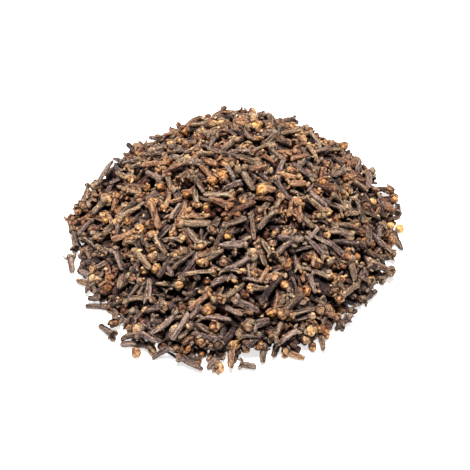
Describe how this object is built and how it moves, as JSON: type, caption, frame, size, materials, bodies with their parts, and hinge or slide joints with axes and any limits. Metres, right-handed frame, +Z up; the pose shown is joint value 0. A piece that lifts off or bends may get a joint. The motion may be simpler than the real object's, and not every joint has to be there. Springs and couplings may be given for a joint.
{
  "type": "heap of whole cloves",
  "caption": "Loose round heap of dried whole cloves with buds, bare calyxes and stems, spread at its foot and lying flat on a table.",
  "frame": {"origin": "on the resting surface, under the middle of the heap's footprint", "axes": "+Z up out of the resting surface; -Y towards the side the heap is seen from"},
  "size_m": [0.1758, 0.1844, 0.0503],
  "materials": {
    "clove": "dry, finely wrinkled dark brown stems and sepals",
    "bud": "dry, satin tan to orange brown flower buds"
  },
  "bodies": {
    "root": {"clove_heap": "clove"}
  },
  "joints": []
}
